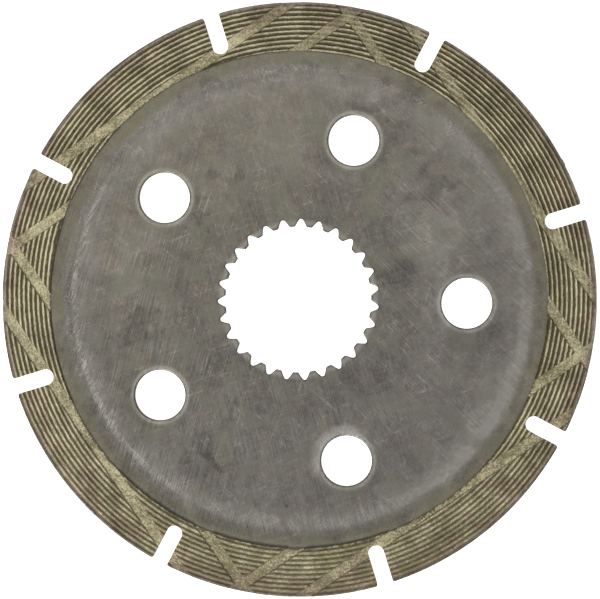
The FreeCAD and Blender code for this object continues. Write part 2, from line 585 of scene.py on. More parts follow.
    def brushing(self, bench: Bench, ground: Ground) -> Brushing:
        """The wire brush's strokes.

        In words: the left, middle and right sets fade into one another across the disc, the hatch
        joins them in patches of the lower half, and all are stronger towards the left and fainter
        in a ring near the edge and under the oil film.

        Args:
            bench: the material in the making.
            ground: the place.

        Returns:
            The strokes.
        """
        aside = ground.x / self.lining_edge + ground.cloud.swing(0.9)
        lower = (ground.y * -0.012 + ground.cloud.swing(2.0)).step(-0.2, 0.7)
        left, middle, right, across, hatch = (bench.strokes(ground.point, brush) for brush in Brush)
        drawn = left * aside.fall(-0.6, 0.1) + middle * aside.band(-0.7, -0.1, 0.1, 0.7)
        drawn = drawn + right * aside.step(-0.1, 0.6) * (1.0 - lower * 0.55)
        drawn = drawn + hatch * (ground.patch.step(0.46, 0.58) * lower) * 0.45 + across * 0.25
        keen = (ground.x * -0.0114 - ground.y * 0.003).step(0.15, 0.9)
        calm = ground.radius.band(*self.calm_ring) * self.calm_share
        calm = calm + ground.radius.step(*self.oiled_ring) * self.oiled_share
        drawn = drawn * (0.72 + keen * 0.62) * (1.0 - calm)
        return Brushing(drawn, left, right, across, hatch, lower, calm)

    def plain(self, bench: Bench, ground: Ground, brushing: Brushing) -> Signal:
        """The brightness of the brushed plate between its marks.

        In words: a plain tone, plus the strokes, the noises from coarse to fine, a painted sheen
        that brightens the plate slowly towards the upper right, a paler ring and a darker middle,
        bright and dark dots where the finest noise peaks, and thin scratches where the strokes peak.

        Args:
            bench: the material in the making.
            ground: the place.
            brushing: the strokes.

        Returns:
            0 for the deepest steel, 1 for pale steel and more for a bright scratch.
        """
        tone = brushing.drawn + self.plain_tone + ground.cloud.swing(self.cloud_depth)
        tone = tone + ground.patch.swing(self.patch_depth) + ground.mottle.swing(self.mottle_depth)
        # the last term is the painted sheen, brighter towards the upper right
        tone = tone + ground.speck.swing(self.speck_depth) + bench.dot(ground.flat, self.painted_sheen)
        tone = tone + ground.radius.band(*self.pale_ring) * self.pale_lift
        tone = tone - ground.radius.fall(*self.dim_middle) * self.middle_depth
        dots = ground.speck.step(*self.bright_dots) + ground.speck.step(*self.dark_dots) - 1.0
        scratched = brushing.left.step(*self.stroke_peak) + brushing.right.step(*self.stroke_peak)
        scratched = (scratched + brushing.across.step(*self.across_peak)) * ground.patch.step(0.44, 0.58)
        return tone + dots * self.dot_depth + scratched * (1.0 - brushing.calm) * self.scratch_lift

    def rubbed(self, ground: Ground) -> Signal:
        """How much the ring has been rubbed: it swells slowly, ends soon and is crispest on the right."""
        crisp = ground.past.band(*self.crisp_band)
        crisp = crisp * (0.3 + ground.x.step(10.0, 70.0) * (1.0 - ground.upper) * 0.55)
        return ground.past.band(*self.swell_band) * 0.8 + crisp

    def ring_marks(self, bench: Bench, ground: Ground, brushing: Brushing, rub: Signal) -> Signal:
        """The change of brightness in and beside the rubbed ring.

        In words: the rubbed ring, weaker towards the top; on its left a pale ridge broken up by
        the strokes; outside it a dark trough, except in the upper left, where there are bitten
        specks and a dimmer stretch instead; and scoring in the lower half.

        Args:
            bench: the material in the making.
            ground: the place.
            brushing: the strokes.
            rub: how much the ring has been rubbed.

        Returns:
            The change, above 0 where it is brighter.
        """
        toward = -1.0 * ground.x - ground.y * 0.3
        ridge = (ground.past + ground.mottle.swing(1.2)).band(*self.ridge_band) * toward.step(45.0, 75.0)
        broken = brushing.hatch * 6.0 + brushing.right * 2.5 + ground.speck.swing(3.0) + 0.50
        ridge = ridge * broken.most(0.0)
        beyond = ground.radius - self.rub_radius
        trough = (beyond + ground.patch.swing(2.0)).band(*self.trough_band) * (1.0 - ground.upper)
        bitten = (beyond + ground.mottle.swing(1.6) + ground.patch.swing(1.5)).band(*self.bite_band)
        bitten = bitten * ground.upper * ground.speck.step(0.50, 0.66)
        dim = ground.past.band(*self.dim_band) * ground.upper
        scored = (brushing.hatch.step(0.06, 0.16) + brushing.right.step(0.10, 0.20)) * rub * brushing.lower
        lift = rub * (self.rub_lift - bench.dot(ground.flat, self.rub_least)) + ridge * self.ridge_lift
        lift = lift + bitten * self.bite_lift + scored * self.score_lift
        return lift - trough * self.trough_depth - dim * self.dim_depth

    def hole_gap(self, ground: Ground) -> Signal:
        """The distance from the nearest oil hole's edge.

        In words: the plane is folded into one hole's share of the turn, so that the length of
        the way to the one hole centre that is left serves for all.

        Args:
            ground: the place.

        Returns:
            Millimetres from the hole's edge.
        """
        half = math.pi / self.hole_count
        turn = ground.y.math("ARCTAN2", ground.y, ground.x)
        fold = turn.math("WRAP", turn, half, -half)
        along = ground.radius * fold.math("COSINE", fold) - self.hole_circle_radius
        across = ground.radius * fold.math("SINE", fold)
        return (along * along + across * across) ** 0.5 - self.hole_radius

    def crescent(self, bench: Bench, flat: Signal, speck: Signal) -> Signal:
        """The pale crescent beside one oil hole, where a washer has rubbed.

        In words: a soft band round the hole's centre, times how far the way from that centre
        points to one side, times the grain.

        Args:
            bench: the material in the making.
            flat: the point with no height.
            speck: fine grain about 0.5.

        Returns:
            The crescent's strength.
        """
        turn = math.radians(self.seat_toward)
        away = bench.vector("SUBTRACT", flat, self.seat_centre)
        reach = bench.length(away)
        lean = bench.dot(away, (math.cos(turn), math.sin(turn), 0.0)) / reach
        gap = reach - self.hole_radius + speck.swing(2.4)
        return gap.band(*self.seat_band) * lean.step(-0.2, 0.75) * (0.4 + speck * 1.2)

    def edge_marks(self, bench: Bench, ground: Ground) -> Signal:
        """The change of brightness beside the oil holes, round the bore and against the lining.

        Args:
            bench: the material in the making.
            ground: the place.

        Returns:
            The change, above 0 where it is brighter.
        """
        gap = self.hole_gap(ground) + ground.mottle.swing(0.8) + ground.speck.swing(0.9)
        halo = gap.fall(*self.halo_fall) * self.halo_lift + gap.fall(*self.glow_fall) * self.glow_lift
        # painted shade: the plate is darkened in a thin band along each oil hole's edge
        halo = halo * (0.5 + ground.speck) - gap.fall(*self.edge_shade_fall) * self.edge_shade_depth
        halo = halo - gap.band(*self.shade_band) * self.shade_depth
        # painted highlight: a pale ring round the bore, where the teeth's broken edges catch the light
        tips = ground.radius + ground.patch.swing(0.8) - self.bore_radius
        bore = tips.band(*self.bore_glint_band) * self.bore_glint_lift
        seat = self.crescent(bench, bench.drift(ground.flat, 0.25, 1.2), ground.speck) * self.seat_lift
        glue = (ground.radius + ground.mottle.swing(1.5) - self.lining_edge).step(*self.glue_rise)
        return halo + bore + seat - glue * self.glue_depth

    def chance_marks(self, bench: Bench, flat: Signal) -> Signal:
        """The change of brightness from the scuffs and the stains, drawn on a drifting ground."""
        ragged = bench.drift(flat, 0.9, 0.8)
        adrift = bench.drift(flat, 0.12, 12.0)
        masks = [mark.mask(bench, ragged if mark.width > self.ragged_from else flat) for mark in self.scuffs]
        masks += [stain.mask(bench, adrift) for stain in self.stains]
        return sum(masks[1:], masks[0])

    def tint(self, bench: Bench, ground: Ground, tone: Signal, film: Signal) -> Signal:
        """The colour of a brightness, with rusty, green and olive stains, the oil film and painted shade on
        the broken edges.

        Args:
            bench: the material in the making.
            ground: the place.
            tone: the brightness.
            film: how thick the oil film lies.

        Returns:
            The colour.
        """
        colour = bench.mix(tone, self.deep, self.pale)
        colour = bench.mix((tone - self.bright_from) * 0.8, colour, self.bright)
        rust = bench.noise(ground.flat, self.rust_cloud).step(0.52, 0.66) * tone.fall(0.55, 0.85)
        colour = bench.mix(rust * (1.0 - film * 0.8) * 0.6, colour, self.rusty, "SOFT_LIGHT")
        green = bench.noise(ground.flat, self.green_cloud).step(0.50, 0.66)
        colour = bench.mix(green * 0.45, colour, self.green)
        olive = ground.y * 0.006 - ground.x * 0.005 + ground.patch.swing(1.2) + 0.3
        olive = olive * (1.0 - ground.past.step(*self.olive_rise) * 0.75)
        colour = bench.mix(olive, colour, self.olive, "MULTIPLY")
        colour = bench.mix(film, colour, self.oiled, "MULTIPLY")
        # painted shade: the leaning broken edges are darkened towards the deep colour
        return bench.mix(bench.leaning() * 0.60, colour, self.deep)

    def make(self) -> bpy.types.Material:
        """Builds the material.

        Returns:
            The finished material.
        """
        bench = Bench(self.name)
        ground = self.ground(bench)
        brushing = self.brushing(bench, ground)
        rub = self.rubbed(ground)
        tone = self.plain(bench, ground, brushing) + self.ring_marks(bench, ground, brushing, rub)
        tone = tone + self.edge_marks(bench, ground) + self.chance_marks(bench, ground.flat)
        beyond = ground.radius - self.rub_radius + ground.patch.swing(3.0) + ground.mottle.swing(1.5)
        film = beyond.step(*self.film_rise)
        height = brushing.drawn * 0.6 + ground.speck * 0.3
        return bench.finish({
            "Base Color": self.tint(bench, ground, tone, film),
            "Metallic": self.metallic,
            "Roughness": 0.46 + brushing.drawn * 0.35 + film * 0.08 - rub * 0.05,
            "Normal": bench.bump(height, 0.05, 0.5),
        })


@dataclass(frozen=True)
class Sinter:
    """The place on a lining that its finish is worked out for, and what its marks share.

    The grain, pore, cloud and fray are noises about 0.5. Wiped and worn run from 0 to 1 towards
    the two sides of the rim where the lining is wiped clean and worn dull.
    """

    flat: Signal
    radius: Signal
    grain: Signal
    pore: Signal
    cloud: Signal
    fray: Signal
    streak: Signal
    wiped: Signal
    worn: Signal


@dataclass(frozen=True)
class SinteredBronze:
    """Sintered bronze lining: grainy pale lands, dark oily grooves and golden channel floors, with painted
    light and shade on its relief.

    The brightness runs from 0, dull, to 1, bright. A rise is where a soft step starts and ends:
    that of the groove from its edge, where 1 is the way from a land's middle to a groove's, that
    of the floor and the lip's painted shade by the channel's depth, and those of the tarnish and
    the torn edge by millimetres from the rim and from the inner edge.
    """

    name: str = "sintered_bronze"
    metallic: float = 0.35
    land: Colour = (0.840, 0.763, 0.530)
    land_dull: Colour = (0.240, 0.212, 0.118)
    oily: Colour = (0.132, 0.107, 0.042)
    # the grooves' oil, and also the painted shade along the channels' edges
    oily_dark_and_shade: Colour = (0.054, 0.043, 0.017)
    gold: Colour = (0.710, 0.640, 0.405)
    gold_dull: Colour = (0.200, 0.175, 0.094)
    ruddy: Colour = (0.96, 0.82, 0.92)
    rim: Colour = (0.330, 0.285, 0.220)
    rim_dull: Colour = (0.120, 0.100, 0.073)
    # painted shade for every upright wall of the lining
    wall: Colour = (0.075, 0.066, 0.048)
    rim_radius: float = 112.0
    inner_radius: float = 93.7
    wiped_toward: float = 268.0
    wiped_from: float = 0.1
    worn_toward: float = 50.0
    worn_from: float = 0.4
    grain: Cloud = Cloud(1.5, 3.0, 0.75)
    pore: Cloud = Cloud(2.3, 2.0, 0.7)
    cloud: Cloud = Cloud(0.10, 3.0)
    fray: Cloud = Cloud(0.45, 3.0, 0.6)
    ruddy_cloud: Cloud = Cloud(0.11)
    plain_tone: float = 0.42
    grain_depth: float = 2.4
    pore_depth: float = 1.8
    cloud_depth: float = 1.7
    fray_depth: float = 1.1
    groove_start: float = 0.45
    groove_rise: Rise = (-0.20, 0.20)
    floor_rise: Rise = (0.30, 0.80)
    lip_shade_band: Band = (0.0, 0.25, 0.45, 0.85)
    ruddy_start: float = 104.0
    ruddy_reach: float = 9.0
    outer_ring: Rise = (100.0, 109.0)
    tarnish_rise: Rise = (-2.0, -1.0)
    torn_fall: Rise = (0.1, 0.7)

    def toward(self, bench: Bench, flat: Signal, degrees: float, start: float) -> Signal:
        """How far a place lies towards one side of the rim.

        Args:
            bench: the material in the making.
            flat: the point with no height.
            degrees: the side, from +X.
            start: the share of the way from the axis to the rim where the rise begins.

        Returns:
            0 up to the start and 1 on the rim.
        """
        turn = math.radians(degrees)
        along = bench.dot(flat, (math.cos(turn), math.sin(turn), 0.0))
        return (along / self.rim_radius).step(start, 1.0)

    def sinter(self, bench: Bench) -> Sinter:
        """What the finish knows about the place that it is worked out for.

        Args:
            bench: the material in the making.

        Returns:
            The place and its noises.
        """
        point = bench.place()
        flat = bench.flat(point)
        return Sinter(
            flat=flat,
            radius=bench.length(flat),
            grain=bench.noise(point, self.grain, solid=True),
            pore=bench.noise(point, self.pore, solid=True),
            cloud=bench.noise(flat, self.cloud),
            fray=bench.noise(flat, self.fray),
            streak=bench.stored("streak"),
            wiped=self.toward(bench, flat, self.wiped_toward, self.wiped_from),
            worn=self.toward(bench, flat, self.worn_toward, self.worn_from),
        )

    def surface(self, bench: Bench, spot: Sinter, side: Signal, tone: Signal) -> Signal:
        """The colour of lands, grooves and channels.

        In words: the land's colour gives way to the oily one where the place lies far enough
        across towards a groove's middle, to the golden one on a channel's floor, and to a painted
        shade line along the channel's edge. Each land carries a painted highlight along its middle.
        All the outlines are frayed by the noises.

        Args:
            bench: the material in the making.
            spot: the place.
            side: the share of the way to the rim along X.
            tone: the brightness.

        Returns:
            The colour.
        """
        across = bench.stored("across") + spot.grain.swing(0.8) + spot.fray.swing(0.35) + spot.streak * 0.14
        start = spot.wiped * 0.27 + self.groove_start - spot.worn * 0.12
        groove = ((across - start) * (1.0 + spot.wiped * 0.5)).step(*self.groove_rise)
        # painted highlight: a bright line along the middle of each land, fainter where the lining is wiped
        crest_highlight = across.fall(0.0, 0.55) * (0.35 - spot.wiped * 0.2)
        land = bench.mix((tone - spot.wiped * 0.26 + crest_highlight - 0.05) * 0.75, self.land_dull, self.land)
        oily = bench.mix(tone, self.oily_dark_and_shade, self.oily)
        colour = bench.mix(groove * (1.0 - spot.wiped * 0.12), land, oily)

        channel = bench.stored("channel")
        floor = channel + spot.grain.swing(1.4) + spot.fray.swing(0.8) - spot.worn * 0.25
        floor = floor.step(*self.floor_rise) * (1.0 - spot.worn * 0.4)
        # the side term here takes back part of the painted brightening on the channel floors
        gold = tone + spot.grain.swing(1.7) - spot.worn * 0.20 - spot.wiped * 0.15 - side * side * 0.12 + 0.12
        gold = gold - spot.pore.step(0.58, 0.68) * 0.4
        gold = bench.mix(gold * 0.75, self.gold_dull, self.gold)
        colour = bench.mix(floor, colour, gold)
        # painted shade: a dark line along each channel's edge
        lip_shade = channel.band(*self.lip_shade_band) * (spot.fray * 2.0 - 0.4).most(0.0)
        return bench.mix(lip_shade * 0.6, colour, self.oily_dark_and_shade)

    def aged_and_shaded(self, bench: Bench, spot: Sinter, tone: Signal, colour: Signal) -> Signal:
        """The colour with what age has done to it, and painted shade on the walls.

        In words: a ruddy haze outwards, tarnish along the rim, a dark torn inner edge, and painted
        shade on all that stands upright.

        Args:
            bench: the material in the making.
            spot: the place.
            tone: the brightness.
            colour: the lining's own colour.

        Returns:
            The colour.
        """
        haze = bench.noise(spot.flat, self.ruddy_cloud).swing(5.0)
        outer = (spot.radius - self.ruddy_start) / self.ruddy_reach
        ruddy = (outer + spot.wiped * 0.5 + haze).step(0.0, 1.2)
        colour = bench.mix(ruddy * 0.65, colour, self.ruddy, "MULTIPLY")
        outward = spot.radius - self.rim_radius + spot.grain.swing(0.9) + spot.worn * 0.4
        rim = bench.mix(tone, self.rim_dull, self.rim)
        colour = bench.mix(outward.step(*self.tarnish_rise) * (0.35 + spot.cloud * 0.6), colour, rim)
        inward = spot.radius - self.inner_radius + spot.grain.swing(1.6) + spot.worn * 2.0
        inward = inward - spot.fray.swing(1.0) * (2.0 + spot.wiped * 4.0)
        colour = bench.mix(inward.fall(*self.torn_fall) * 0.75, colour, self.oily_dark_and_shade)
        # painted shade: all that stands upright takes the dark wall colour
        return bench.mix(bench.upright(), colour, self.wall)

    def make(self) -> bpy.types.Material:
        """Builds the material.

        Returns:
            The finished material.
        """
        bench = Bench(self.name)
        spot = self.sinter(bench)
        side = bench.part(spot.flat, "X") / self.rim_radius
        tone = spot.grain.swing(self.grain_depth) + spot.pore.swing(self.pore_depth)
        tone = tone + spot.cloud.swing(self.cloud_depth) + spot.fray.swing(self.fray_depth)
        # painted light: the side term makes the lining brighter towards the left and the right, most on the
        # left
        tone = tone + spot.streak * 0.12 + side * side * (0.22 - side * 0.10) + self.plain_tone
        tone = tone - spot.radius.step(*self.outer_ring) * (0.09 + spot.wiped * 0.08)
        height = spot.grain * 0.7 + spot.pore * 0.4
        return bench.finish({
            "Base Color": self.aged_and_shaded(bench, spot, tone, self.surface(bench, spot, side, tone)),
            "Metallic": self.metallic,
            "Roughness": 0.62 + spot.grain.swing(0.3),
            "Normal": bench.bump(height, 0.12, 0.8),
        })


@dataclass(frozen=True)
class PalePaper:
    """The plain pale sheet that the disc lies on."""

    name: str = "pale_paper"
    shade: Colour = (0.90, 0.90, 0.90)
    dimmer: Colour = (0.86, 0.86, 0.86)
    cloud: Cloud = Cloud(0.02)
    glow: float = 1.0

    def make(self) -> bpy.types.Material:
        """Builds the material."""
        bench = Bench(self.name)
        patch = bench.noise(bench.place(), self.cloud).step(0.3, 0.7)
        paper = bench.mix(patch * 0.05, self.shade, self.dimmer)
        feeds = {"Base Color": paper, "Roughness": 0.9, "Emission Color": (1.0, 1.0, 1.0, 1.0)}
        return bench.finish({**feeds, "Emission Strength": self.glow})


@dataclass(frozen=True)
class RimSlots:
    """The radial slots, which are open at the rim and have round roots and rounded mouths."""

    count: int = 8
    first_angle: float = 18.4
    half_width: float = 3.0
    root: float = 97.0
    mouth_radius: float = 0.8
    rim: float = 112.0

    def share(self) -> float:
        """The angle between two slots, in degrees."""
        return 360.0 / self.count

    def half_angle(self, radius: np.ndarray) -> np.ndarray:
        """Half the angle that a slot takes out of the ring at a distance from the axis.

        In words: nothing inside the root; then the chord of the root's circle; then the straight
        wall, whose angle is the arc sine of half the width over the radius; and last the circle
        that rounds the mouth, which ends on the rim.

        Args:
            radius: distances from the axis.

        Returns:
            Degrees for each distance.
        """
        safe = np.maximum(radius, self.root)
        centre = self.root + self.half_width
        root = np.arccos(np.clip((safe**2 + centre**2 - self.half_width**2) / (2 * centre * safe), -1, 1))
        wall = np.arcsin(self.half_width / safe)
        reach = self.rim - self.mouth_radius
        across = self.half_width + self.mouth_radius
        middle = math.asin(across / reach)
        cosine = (safe**2 + reach**2 - self.mouth_radius**2) / (2 * reach * safe)
        mouth = middle - np.arccos(np.clip(cosine, -1, 1))
        wall_start = math.hypot(centre, self.half_width)
        wall_end = math.hypot(math.sqrt(reach**2 - across**2), self.half_width)
        angle = np.where(safe < wall_start, root, np.where(safe < wall_end, wall, mouth))
        return np.degrees(np.where(radius <= self.root, 0.0, angle))


@dataclass(frozen=True)
class OilChannels:
    """The straight pressed channels, which lie on the sides of two concentric squares."""

    sides: int = 4
    first_normal: float = 35.6
    apothems: tuple[float, ...] = (93.6, 77.29)
    half_width: float = 2.2
    wall: float = 0.35
    depth: float = 0.6
    shift: tuple[float, float] = (-0.87, -0.27)

    def lines(self) -> np.ndarray:
        """The channel edges as rows of normal x, normal y and distance from the axis."""
        rows = []
        for apothem in self.apothems:
            for index in range(self.sides):
                turn = math.radians(self.first_normal + index * 360.0 / self.sides)
                normal = (math.cos(turn), math.sin(turn))
                moved = apothem + normal[0] * self.shift[0] + normal[1] * self.shift[1]
                rows += [(*normal, moved - self.half_width), (*normal, moved + self.half_width)]
        return np.array(rows)

    def sunk(self, x: np.ndarray, y: np.ndarray) -> np.ndarray:
        """How deep the channels lie under the lining's face.

        In words: the distance from each channel's middle line; full depth inside the width less
        the wall, none outside the width, and a straight slope across the wall.

        Args:
            x: places along X.
            y: places along Y.

        Returns:
            The depth at each place.
        """
        deepest = np.zeros_like(x)
        edges = self.lines()
        for low, high in zip(edges[0::2], edges[1::2]):
            off = np.abs(x * low[0] + y * low[1] - (low[2] + high[2]) / 2)
            deepest = np.maximum(deepest, np.clip((self.half_width - off) / self.wall, 0, 1))
        return deepest * self.depth


@dataclass(frozen=True)
class TurnedGroove:
    """The fine oil groove, turned as one spiral about a centre a little off the disc's axis."""

    start: float = 0.697
    pitch: float = 1.791
    off_x: float = 0.754
    off_y: float = 1.523
    hand: int = 1
    depth: float = 0.42
    rows: tuple[float, ...] = (0.0, 0.17, 0.31, 0.40, 0.5, 0.60, 0.69, 0.83)
    fall: tuple[float, ...] = (1.0, 0.82, 0.12, 0.01, 0.0, 0.01, 0.12, 0.82)

    def radius(self, turn: np.ndarray, degrees: np.ndarray) -> np.ndarray:
        """The distance from the axis of a place on the spiral.

        In words: the pitch times the turn number, plus the swing of the lathe's centre off the
        axis, less one pitch for each full circle.

        Args:
            turn: the turn's number, where a whole number is the groove's middle.
            degrees: the angle round the axis.

        Returns:
            Millimetres from the axis.
        """
        round_axis = np.radians(degrees)
        swing = self.off_x * np.cos(round_axis) + self.off_y * np.sin(round_axis)
        return self.start + self.pitch * (turn - self.hand * degrees / 360.0) + swing

    def phase(self, radius: np.ndarray, degrees: np.ndarray) -> np.ndarray:
        """The share of a pitch that a place lies beyond the middle of the groove inside it."""
        return (radius - self.radius(np.zeros_like(degrees), degrees)) / self.pitch % 1.0

    def sunk(self, phase: np.ndarray) -> np.ndarray:
        """How deep the groove lies under the lining's face, from its profile across one pitch."""
        places = np.array([*self.rows, 1.0])
        falls = np.array([*self.fall, self.fall[0]])
        return np.interp(phase, places, falls) * self.depth

    def across(self, phase: np.ndarray) -> np.ndarray:
        """0 along the middle of the land between two turns, rising to 1 in the groove's middle."""
        return np.abs(phase - 0.5) * 2.0

    def turns(self, inner: float, outer: float) -> np.ndarray:
        """The turn numbers of all grid rows between two distances from the axis."""
        spare = math.hypot(self.off_x, self.off_y) / self.pitch + 1.2
        low = math.floor((inner - self.start) / self.pitch - spare)
        high = math.ceil((outer - self.start) / self.pitch + spare)
        whole = np.arange(low, high)
        return (whole[:, None] + np.array(self.rows)[None, :]).ravel()


@dataclass(frozen=True)
class RimMark:
    """A burr on the rim, or a nick if its size is below 0.

    The middle and the width are in degrees, and the size in millimetres.
    """

    middle: float
    wide: float
    size: float

    def bell(self, degrees: np.ndarray) -> np.ndarray:
        """How far the rim moves out at each angle: the size times a bell curve about the middle."""
        return self.size * np.exp(-((((degrees - self.middle + 180) % 360 - 180) / self.wide) ** 2))


@dataclass
class Lining:
    """One bonded lining: a slotted ring, turned with a spiral groove and crossed by channels."""

    side: Side
    node: str
    finish: bpy.types.Material
    inner: float = 93.7
    outer: float = 112.0
    back: float = 1.4
    face: float = 2.4
    columns: int = 130
    grain: float = 0.018
    channel_grain: float = 1.6
    streak_depth: float = 0.02
    crumble: float = 0.14
    beats: tuple[int, ...] = (37, 61, 97, 140, 203, 288)
    marks: tuple[RimMark, ...] = (
        RimMark(28.3, 0.25, 0.45), RimMark(29.0, 0.3, 0.35), RimMark(180.8, 1.2, -0.3)
    )
    sharp_angle: float = 38.0
    seed: int = 11
    slots: RimSlots = field(default_factory=RimSlots)
    channels: OilChannels = field(default_factory=OilChannels)
    groove: TurnedGroove = field(default_factory=TurnedGroove)

    def grid(self) -> tuple[np.ndarray, np.ndarray]:
        """The places of the face's grid.

        In words: each share of the ring between two slots has columns that spread evenly from
        wall to wall, and rows that follow the spiral. A row that runs past the inner edge or the
        rim is held on it. Where a column is a slot's side, the row next to the root is set on it.

        Returns:
            Radius and angle in degrees, each by share, column and row.
        """
        turns = self.groove.turns(self.inner, self.outer)
        across = np.linspace(-1.0, 1.0, self.columns + 1)
        middle = self.slots.first_angle + (np.arange(self.slots.count) + 0.5) * self.slots.share()
        half = self.slots.share() / 2
        middle, across, turn = np.meshgrid(middle, across, turns, indexing="ij")
        angle = middle + across * half
        for _ in range(6):
            radius = np.clip(self.groove.radius(turn, angle), self.inner, self.outer)
            for edge in (0, -1):
                nearest = np.abs(radius[:, edge, :] - self.slots.root).argmin(axis=1)
                radius[np.arange(self.slots.count), edge, nearest] = self.slots.root
            angle = middle + across * (half - self.slots.half_angle(radius))
        return radius, angle

    def settle(self, radius: np.ndarray, angle: np.ndarray) -> tuple[np.ndarray, np.ndarray]:
        """Moves the grid's places that lie next to a channel's edge onto that edge.

        In words: a place nearer to the edge line than half the grid's spacing across it slides
        square to the line, or round the axis if it lies on the ring's inner edge or rim.

        Args:
            radius: the grid's radii.
            angle: the grid's angles in degrees.

        Returns:
            The places along X and Y.
        """
        x = radius * np.cos(np.radians(angle))
        y = radius * np.sin(np.radians(angle))
        wide = math.radians(self.slots.share()) * self.outer / self.columns / 2
        tall = self.groove.pitch / len(self.groove.rows) / 2
        on_edge = (radius <= self.inner) | (radius >= self.outer)
        free = np.ones_like(x, dtype=bool)
        free[:, 0, :] = free[:, -1, :] = False
        for normal_x, normal_y, reach in self.channels.lines():
            off = x * normal_x + y * normal_y - reach
            out = (x * normal_x + y * normal_y) / radius
            round_axis = (y * normal_x - x * normal_y) / radius
            near = free & ~on_edge & (np.abs(off) < np.maximum(np.abs(round_axis) * wide, np.abs(out) * tall))
            slide = off / np.where(np.abs(round_axis) > 0.25, round_axis, np.inf)
            held = free & on_edge & (slide != 0.0) & (np.abs(slide) < wide)
            turned = np.arctan2(y, x) + slide / radius
            x = np.where(near, x - off * normal_x, np.where(held, radius * np.cos(turned), x))
            y = np.where(near, y - off * normal_y, np.where(held, radius * np.sin(turned), y))
            free &= ~(near | held)
        return x, y

    def build(self) -> bpy.types.Object:
        """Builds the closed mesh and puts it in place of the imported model's solid.

        In words: the grid's places are merged where they coincide. The face's height is the
        lining's face less the deeper of groove and channel, with a little grain. Walls drop from
        the face's edges to the back, which is one flat panel for each share of the ring.

        Returns:
            The new piece.
        """
        radius, angle = self.grid()
        x, y = self.settle(radius, angle)
        flat = np.stack([x.ravel(), y.ravel()], axis=1)
        _, first, number = np.unique(np.round(flat, 4), axis=0, return_index=True, return_inverse=True)
        number = number.reshape(radius.shape)
        rng = np.random.default_rng(self.seed)
        flat = self.weather(rng, flat[first])
        x, y = flat.T
        reach = np.hypot(x, y)
        phase = self.groove.phase(reach, np.degrees(np.arctan2(y, x)))
        groove = self.groove.sunk(phase)
        channel = self.channels.sunk(x, y)
        sunk = np.maximum(groove, channel)
        streak = self.streaks(rng, radius.shape).ravel()[first]
        grain = rng.random(len(flat)) * self.grain * (1.0 + self.channel_grain * (sunk > self.groove.depth))
        grain = grain + np.clip(streak, 0.0, 2.0) * self.streak_depth
        top = np.column_stack([flat, self.face - sunk - grain])

        quads = self.quads(number)
        faces = np.concatenate([quads[:, [0, 1, 2]], quads[:, [0, 2, 3]]])
        edges, panels = self.outline(number, reach)
        used = np.unique(np.concatenate([edges.ravel(), *panels]))
        below = np.full(len(top), -1)
        below[used] = len(top) + np.arange(len(used))
        back = np.column_stack([flat[used], np.full(len(used), self.back)])
        walls = np.column_stack([edges, below[edges[:, 1]], below[edges[:, 0]]])
        faces = faces[self.whole(faces)]
        polygons = faces.tolist() + walls.tolist() + [below[panel].tolist() for panel in panels]
        relief = {
            "across": self.groove.across(phase),
            "channel": channel / self.channels.depth,
            "streak": streak,
        }
        return self.place(np.concatenate([top, back]), polygons, relief)

    def weather(self, rng: np.random.Generator, flat: np.ndarray) -> np.ndarray:
        """Crumbles the ring's inner edge and adds the burr and the nick on the rim.

        In words: a place on the inner edge moves out by the part above 0 of a sum of sines round
        the axis with random phases. A place on the rim moves by a narrow bell out at the burr and
        a wider one in at the nick.

        Args:
            rng: the source of the phases.
            flat: the places along X and Y.

        Returns:
            The moved places.
        """
        reach = np.hypot(*flat.T)
        turn = np.arctan2(flat[:, 1], flat[:, 0])
        beats = np.array(self.beats)
        waves = np.sin(beats[:, None] * turn + rng.random(len(beats))[:, None] * 2 * np.pi).sum(axis=0)
        crumbled = np.where(reach < self.inner + 1e-4, np.clip(waves - 0.4, 0.0, 2.5) * self.crumble, 0.0)
        bells = sum(mark.bell(np.degrees(turn)) for mark in self.marks)
        moved = crumbled + np.where(reach > self.outer - 1e-4, bells, 0.0)
        return flat * (1.0 + moved / reach)[:, None]

    @staticmethod
    def streaks(rng: np.random.Generator, shape: tuple[int, ...]) -> np.ndarray:
        """Random values about 0, of size 1, that run on from column to column along the rows."""
        loose = rng.standard_normal(shape)
        drawn = loose + 0.7 * np.roll(loose, 1, axis=1) + 0.7 * np.roll(loose, -1, axis=1)
        return drawn / drawn.std()

    @staticmethod
    def quads(number: np.ndarray) -> np.ndarray:
        """The face's grid cells as rows of four places, counter-clockwise from above."""
        corners = (number[:, :-1, :-1], number[:, :-1, 1:], number[:, 1:, 1:], number[:, 1:, :-1])
        return np.stack([corner.ravel() for corner in corners], axis=1)

    @staticmethod
    def whole(faces: np.ndarray) -> np.ndarray:
        """Which triangles have three places that differ."""
        a, b, c = faces.T
        return (a != b) & (b != c) & (c != a)

    def outline(self, number: np.ndarray, reach: np.ndarray) -> tuple[np.ndarray, list[np.ndarray]]:
        """The edges that a wall hangs from, and the loops that bound the back's panels.

        Args:
            number: the place of each grid point, by share, column and row.
            reach: each place's distance from the axis.

        Returns:
            Pairs of places in the order in which each wall starts, and one loop for each share.
        """
        runs, panels = [], []
        for share in number:
            inner, rim = share[:, 0], share[:, -1]
            low, high = (side[reach[side] >= self.slots.root - 1e-3] for side in (share[0], share[-1]))
            loop = np.concatenate([inner, high, rim[::-1], low[::-1]])
            panels.append(loop[loop != np.roll(loop, 1)])
            runs += [inner, high, rim[::-1], low[::-1]]
        pairs = np.concatenate([np.stack([run[:-1], run[1:]], axis=1) for run in runs])
        return pairs[pairs[:, 0] != pairs[:, 1]], panels

